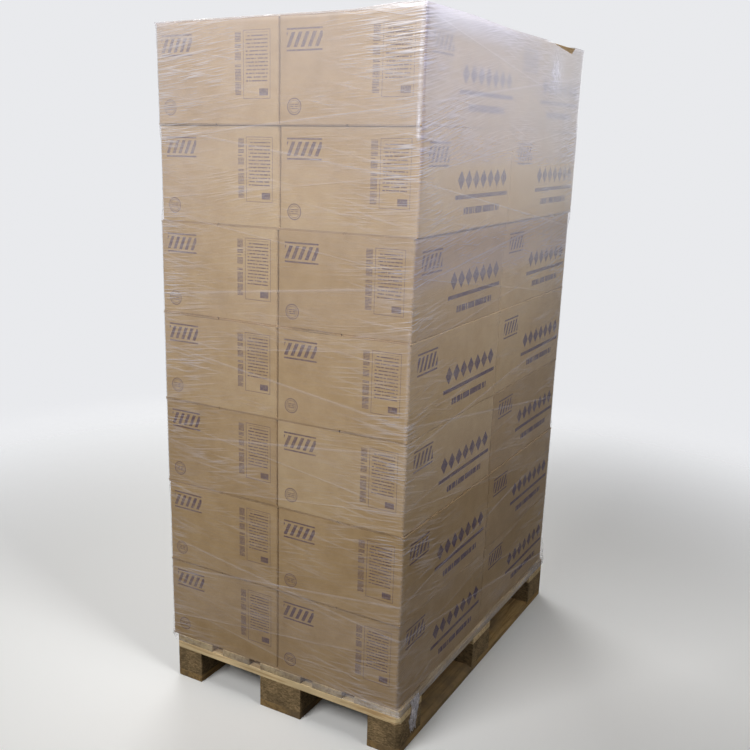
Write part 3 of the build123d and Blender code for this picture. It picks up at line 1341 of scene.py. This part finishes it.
    def map_wrap(self) -> None:
        """Give the film its own coordinates, the way round the load and the height, and mark its corners."""
        mesh, low, high = self.skin.data, self.low, self.high
        wide, long = high.x - low.x, high.y - low.y
        layer = mesh.uv_layers.new(name="wrap")
        ridges = mesh.uv_layers.new(name="ridges")
        corner = mesh.attributes.new("corner", "FLOAT", "POINT")
        for face in mesh.polygons:
            middle = face.center
            # the front, the right, the back and the left
            reach = (middle.y - low.y, high.x - middle.x, high.y - middle.y, middle.x - low.x)
            side = reach.index(min(reach))
            on_lip = abs(face.normal.z) > 0.7 and middle.z > high.z - 2 * MM
            for index in face.loop_indices:
                spot = mesh.vertices[mesh.loops[index].vertex_index].co
                round_way = (
                    spot.x - low.x,
                    wide + spot.y - low.y,
                    wide + long + high.x - spot.x,
                    2 * wide + long + high.y - spot.y,
                )[side]
                inward = (spot.y - low.y, high.x - spot.x, high.y - spot.y, spot.x - low.x)[side]
                level = spot.z + max(0.0, inward) if on_lip else spot.z
                # on the lip the pleats run inwards, across the pull of the roll
                layer.data[index].uv = (level, self.lip_shift + round_way) if on_lip else (round_way, level)
                ridges.data[index].uv = (round_way * self.ridge_waves[0], level * self.ridge_waves[1])
        for vertex in mesh.vertices:
            away = max(0.0, *self.inset(vertex.co))
            corner.data[vertex.index].value = math.exp(-away / self.corner_reach)

    def rim_height(self, spot: Vector) -> float:
        """How far the rim stands above the load: a few millimetres, and more at the front right corner.

        Args:
            spot: a point of the rim.

        Returns:
            The height in metres.
        """
        (back, long), (left, wide) = self.rim_from_front, self.rim_from_left
        along, right = share_of(back - spot.y, long), share_of(spot.x - left, wide)
        return self.least_rim + self.front_rim * right * along * along * (3 - 2 * along)

    def crumple(self) -> None:
        """Raise long shallow ridges on the walls, and an uneven rim and lip."""
        walls = self.skin.vertex_groups["walls"]
        corner = self.skin.data.attributes["corner"].data
        for vertex in self.skin.data.vertices:
            if self.on_wall(vertex.co):
                walls.add([vertex.index], 0.3 + 0.7 * corner[vertex.index].value, "REPLACE")
            elif vertex.co.z > self.high.z:
                share = (vertex.co.z - self.high.z) / self.rim_rise
                vertex.co.z = self.high.z + self.least_rim + share * self.rim_height(vertex.co)
        use_modifier(
            self.skin,
            "DISPLACE",
            texture=cloud_texture("film_ridges", 0.25),
            texture_coords="UV",
            uv_layer="ridges",
            strength=self.ridge,
            mid_level=0.3,
            vertex_group="walls",
        )

    def pleat_lip(self) -> None:
        """Gather the lip on top of the load: an uneven inner edge, and pleats that rise towards it."""
        middle, high = (self.low + self.high) / 2, self.high
        slow, quick = self.lip_waves
        wide, fine = self.pleat_waves
        for vertex in self.skin.data.vertices:
            spot = vertex.co
            across = high.x - middle.x - abs(spot.x - middle.x)
            along = high.y - middle.y - abs(spot.y - middle.y)
            share = share_of(min(across, along), self.lip_width)
            if spot.z < high.z or share == 0.0:
                continue
            # the side's own number keeps the pleats of the four sides apart
            axis = 0 if across < along else 1
            side = (3.0, 7.0)[axis] + math.copysign(1.0, spot[axis])
            way = spot[1 - axis]
            reach = noise.noise(Vector((way * slow, side, 0.0))) + 0.5 * noise.noise(Vector((way * quick, side, 5.0)))
            pull = share * self.lip_width * (0.16 + 0.42 * reach)
            fold = abs(noise.noise(Vector((way * wide, side, share * 0.9))))
            fold += 0.6 * abs(noise.noise(Vector((way * fine, side, 2.0 + share))))
            spot[axis] += math.copysign(pull, spot[axis] - middle[axis])
            spot.z += share * fold * self.pleat

    def mark_gathers(self) -> None:
        """Mark where the film is bunched and so turns white: the corners, the standing rim and the slipped patch. The
        corners' white is partly a painted highlight, and the front right corner's line is a painted highlight.
        """
        gather = self.skin.data.attributes.new("gather", "FLOAT", "POINT")
        low, high = self.low, self.high
        for vertex in self.skin.data.vertices:
            spot = vertex.co
            across, along = (max(0.0, reach) for reach in self.inset(spot))
            loose = math.dist(spot, self.gather_spot) / self.gather_radius
            loose += 0.5 * noise.noise(spot * self.gather_waves)
            # the white along the upright corners is partly a painted highlight
            fold = max(across, along) / self.fold_reach
            # the rim is whitest on the right and the left, where it stands up
            start, height = self.rim_band
            above = share_of(spot.z - high.z - start, height) * math.exp(-min(across, along) / self.rim_reach)
            above *= 0.35 if along < across else 1.0
            # the front right corner gets a painted highlight, a broken bright line, more of it higher up
            corner_highlight = 0.0
            if spot.x > high.x - self.corner_highlight_edge[0] and spot.y < low.y + self.corner_highlight_edge[1]:
                start, height = self.corner_highlight_band
                uneven = max(0.0, 0.75 + noise.noise(Vector((3.0, 1.0, spot.z * 8))))
                corner_highlight = min(1.0, share_of(spot.z - start, height) * uneven)
            # the skirt's lower edge is rolled up, most on the right
            start, height = self.rolled_band
            rolled = 0.1 + 0.25 * noise.noise(spot * Vector(self.rolled_waves)) + 0.3 * max(0.0, spot.x)
            rolled *= share_of(self.deck_top + start - spot.z, height)
            patch, corner = self.patch_white * math.exp(-loose * loose), self.corner_white_and_highlight * math.exp(-fold * fold)
            gather.data[vertex.index].value = max(patch, corner, self.rim_white * above, corner_highlight, rolled)

    def near_notch(self, spot: Vector) -> bool:
        """Whether a point of the film is near the notch, at the top of the right side."""
        (start, end), (beside, below) = self.notch, self.notch_margins
        return spot.x > 0.25 and start - beside < spot.y < end + beside and spot.z > self.high.z - below

    def tear(self) -> None:
        """Cut the notch near the back of the right rim, where the film has slipped off the top edge."""
        edge, top = self.high.x, self.high.z
        lowest = Vector((edge, self.notch_lowest[0], top - self.notch_lowest[1]))
        inner = Vector((edge - self.notch_inner[1], self.notch_inner[0], top))
        within = Vector((edge, sum(self.notch) / 2, top + 20 * MM))
        planes = []
        for start in self.notch:
            corner = Vector((edge, start, top + 2 * MM))
            across = (lowest - corner).cross(inner - corner).normalized()
            planes.append((corner, -across if across.dot(within - corner) < 0 else across))
        pick(self.skin)
        bpy.ops.object.mode_set(mode="EDIT")
        for corner, across in planes:
            choose(self.skin, "FACE", lambda spot, normal: self.near_notch(spot))
            bpy.ops.mesh.bisect(plane_co=corner, plane_no=across)
        choose(
            self.skin,
            "FACE",
            lambda spot, normal: self.near_notch(spot) and all(side.dot(spot - start) > 0 for start, side in planes),
        )
        bpy.ops.mesh.delete(type="FACE")
        bpy.ops.object.mode_set(mode="OBJECT")

    def tail(self) -> Piece:
        """Model the film's loose end: a gathered strip that hangs on the corner block.

        Returns:
            The strip.
        """
        low, high = corners("block_front_right")
        pick()
        bpy.ops.mesh.primitive_grid_add(x_subdivisions=self.tail_cuts[0], y_subdivisions=self.tail_cuts[1], size=1.0)
        tail = bpy.context.object
        tail.name = "stretch_film_tail"
        marks = self.tail_widths
        wide, fine = self.tail_pleats
        layer = tail.data.uv_layers.new(name="wrap")
        gather = tail.data.attributes.new("gather", "FLOAT", "POINT")
        for vertex in tail.data.vertices:
            across, down = vertex.co.x, 0.5 - vertex.co.y
            place = down * (len(marks) - 1)
            step = min(int(place), len(marks) - 2)
            width = marks[step] + (marks[step + 1] - marks[step]) * (place - step)
            pleat = math.sin(across * wide + 3.0 * down) + 0.6 * math.sin(across * fine - 9.0 * down)
            twist = 0.5 + 0.28 * pleat + 0.1 * math.sin(23 * down + 9 * across)
            depth = self.tail_depth * (0.4 + 0.6 * math.sin(math.pi * min(0.9, down + 0.2)))
            ragged = self.tail_ragged * math.sin(across * 23) * down * down
            vertex.co = (
                high.x + 1.0 * MM + twist * depth,
                low.y + self.tail_centre + across * width + self.tail_sway * math.sin(5.4 * down),
                self.tail_top + (self.tail_bottom - self.tail_top) * down + ragged,
            )
            gather.data[vertex.index].value = 1.2 + 0.3 * pleat
        for loop in tail.data.loops:
            spot = tail.data.vertices[loop.vertex_index].co
            layer.data[loop.index].uv = (spot.z, spot.y)
        return tail


@dataclass
class Studio:
    """The floor, the lights and the camera."""

    sensor: float = 36.0
    focal_pixels: float = 939.0
    image_pixels: float = 750.0
    centre_pixels: tuple[float, float] = (319.8, 405.0)
    stand: tuple[float, float, float] = (1.4010, -2.6637, 1.5229)
    forward: tuple[float, float, float] = (-0.5029, 0.8209, -0.2706)
    rightward: tuple[float, float, float] = (0.8504, 0.5259, 0.0147)
    surround: float = 0.08
    walls: float = 0.9
    below: float = 0.12
    key_power: float = 54.5
    rear_power: float = 3.6
    fill_power: float = 11.5
    back_power: float = 60.0
    floor_size: float = 60.0
    floor_drop: float = 0.5 * MM
    floor_fade: tuple[float, float] = (1.2, 3.6)

    def build(self, load_base: Vector) -> None:
        """Set the stage.

        Args:
            load_base: the middle of the load's underside, that the camera's place is measured from.
        """
        self.floor()
        self.surroundings()
        self.lights()
        self.camera(load_base)

    def floor(self) -> None:
        """A plain pale floor."""
        pick()
        bpy.ops.mesh.primitive_plane_add(size=self.floor_size, location=(0, 0, -self.floor_drop))
        floor = bpy.context.object
        floor.name = "studio_floor"
        material, add = new_material("studio_floor_paint")
        # the floor looks pale, and gives back little light, so that the load darkens towards its foot
        seen = add("LightPath").outputs["Is Camera Ray"]
        tone = add("Mix", {0: seen, 6: linear("#56544F"), 7: linear("#F8F8F6")}, data_type="RGBA").outputs[2]
        paint = add("BsdfPrincipled", {"Base Color": tone, "Roughness": 0.9, "Specular IOR Level": 0.2})
        # far from the load the floor gives way to the pale surroundings, with no horizon
        place = add("TexCoord").outputs["Object"]
        away = add("VectorMath.LENGTH", (place,)).outputs["Value"]
        fade = add("MapRange", (away, *self.floor_fade, 0.0, 1.0), interpolation_type="SMOOTHSTEP")
        # nor does it hide the load from below
        under = add("NewGeometry").outputs["Backfacing"]
        fade = add("Math.MAXIMUM", (fade, under))
        add("OutputMaterial", (add("MixShader", (fade, paint, add("BsdfTransparent"))),))
        floor.data.materials.append(material)

    def surroundings(self) -> None:
        """Pale walls, which give back a dimmer light, and which the film mirrors dark below."""
        scene = bpy.context.scene
        scene.view_settings.view_transform = "Standard"
        scene.world = bpy.data.worlds.new("studio_world")
        scene.world.use_nodes = True
        tree = scene.world.node_tree
        add = partial(add_node, tree)
        sky = tree.nodes["Background"]
        sky.inputs[0].default_value = linear("#F4F5F8")
        path = add("LightPath").outputs
        rise = add("SeparateXYZ", (add("TexCoord").outputs["Generated"],)).outputs[2]
        mirrored = add("MapRange", (rise, -0.3, -0.04, self.below, self.walls))
        strength = add("Mix", {0: path["Is Diffuse Ray"], 2: mirrored, 3: self.surround}, data_type="FLOAT")
        strength = add("Mix", {0: path["Is Camera Ray"], 2: strength, 3: self.walls}, data_type="FLOAT")
        tree.links.new(strength.outputs[0], sky.inputs[1])

    def lights(self) -> None:
        """A large soft key from the upper front left, and dimmer lights for the other sides."""
        for name, place, target, size, power, beam in (
            ("key_light", (-0.6, -4.0, 3.9), (0.15, -0.5, 2.2), 2.0, self.key_power, 88),
            ("rear_light", (1.9, 3.4, 2.6), (0.4, 0.0, 2.3), 2.8, self.rear_power, 64),
            ("fill_light", (2.3, -0.9, 3.6), (0.4, -0.35, 2.1), 1.2, self.fill_power, 60),
            ("back_light", (-2.6, 3.0, 2.9), (-0.3, 0.3, 1.2), 2.4, self.back_power, 140),
        ):
            lamp = bpy.data.lights.new(name, "AREA")
            lamp.shape = "SQUARE"
            lamp.size = size
            lamp.energy = power
            lamp.spread = math.radians(beam)
            holder = bpy.data.objects.new(name, lamp)
            holder.location = place
            aim = Vector(target) - Vector(place)
            holder.rotation_euler = aim.to_track_quat("-Z", "Y").to_euler()
            holder.visible_camera = False
            bpy.context.collection.objects.link(holder)

    def camera(self, load_base: Vector) -> None:
        """The photograph's viewpoint.

        Args:
            load_base: the middle of the load's underside.
        """
        data = bpy.data.cameras.new("view")
        data.sensor_width = self.sensor
        data.lens = self.focal_pixels / self.image_pixels * data.sensor_width
        half = self.image_pixels / 2
        data.shift_x = (half - self.centre_pixels[0]) / self.image_pixels
        data.shift_y = (self.centre_pixels[1] - half) / self.image_pixels
        data.clip_end = 200.0
        camera = bpy.data.objects.new("view", data)
        bpy.context.collection.objects.link(camera)
        back = -Vector(self.forward).normalized()
        right = Vector(self.rightward).normalized()
        turn = Matrix((right, back.cross(right), back)).transposed().to_4x4()
        camera.matrix_world = Matrix.Translation(load_base + Vector(self.stand)) @ turn
        bpy.context.scene.camera = camera


def main() -> None:
    """Build the dressed load and its stage."""
    logging.basicConfig(level=logging.INFO, format="%(name)s: %(message)s")
    random.seed(7)
    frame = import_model()
    nodes = frame["nodes"]
    pallet, cartons, film = Pallet(), CartonStack(), FilmWrap()
    pallet.build(nodes)
    cartons.build(nodes)
    film.build(cartons.pieces)
    for piece in pallet.pieces + cartons.pieces + film.pieces:
        LOG.info("%s: %d faces", piece.name, len(piece.data.polygons))
    first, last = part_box("carton_1_front_left"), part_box("carton_1_rear_right")
    Studio().build(Vector(((first[0][0] + last[1][0]) / 2, 0.0, first[0][2])))


if __name__ == "__main__":
    main()
